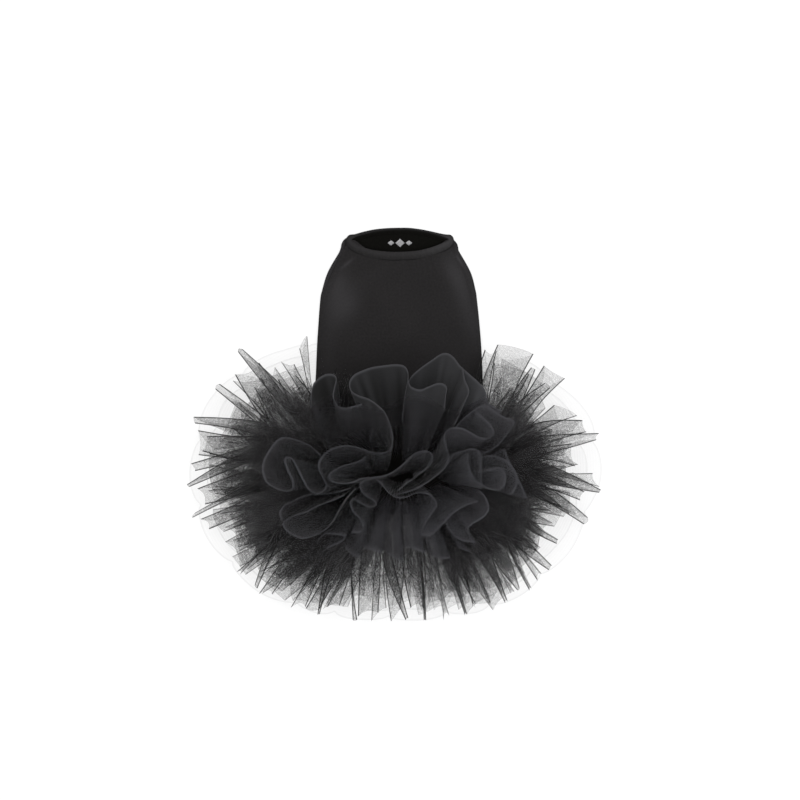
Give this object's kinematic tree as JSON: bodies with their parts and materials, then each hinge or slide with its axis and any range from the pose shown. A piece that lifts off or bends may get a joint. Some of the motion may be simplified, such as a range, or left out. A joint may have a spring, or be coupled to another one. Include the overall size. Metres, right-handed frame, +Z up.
{
  "type": "ballet tutu dress for a small dog",
  "caption": "Sleeveless black jersey dress for a small dog with a gathered net and tulle tutu skirt, laid flat on its back.",
  "frame": {"origin": "middle of the outline of the laid-out dress, on the surface it lies on", "axes": "+X across the dress, +Y from the skirt to the neck, +Z up from the surface"},
  "size_m": [0.4111, 0.3942, 0.1041],
  "materials": {
    "jersey": "fine black cotton jersey with a soft nap",
    "binding": "folded black jersey binding",
    "stiff_net": "stiff open black nylon net",
    "soft_tulle": "soft fine black tulle, folded double"
  },
  "bodies": {
    "root": {"bodice_back": "jersey", "bodice_front": "jersey", "neck_binding_front": "binding", "neck_binding_back": "binding", "tulle_heading": "stiff_net", "net_tier_1": "stiff_net", "net_tier_2": "stiff_net", "net_tier_3": "stiff_net", "net_tier_4": "stiff_net", "ruffle_outer": "soft_tulle", "ruffle_middle": "soft_tulle", "ruffle_inner": "soft_tulle"}
  },
  "joints": []
}
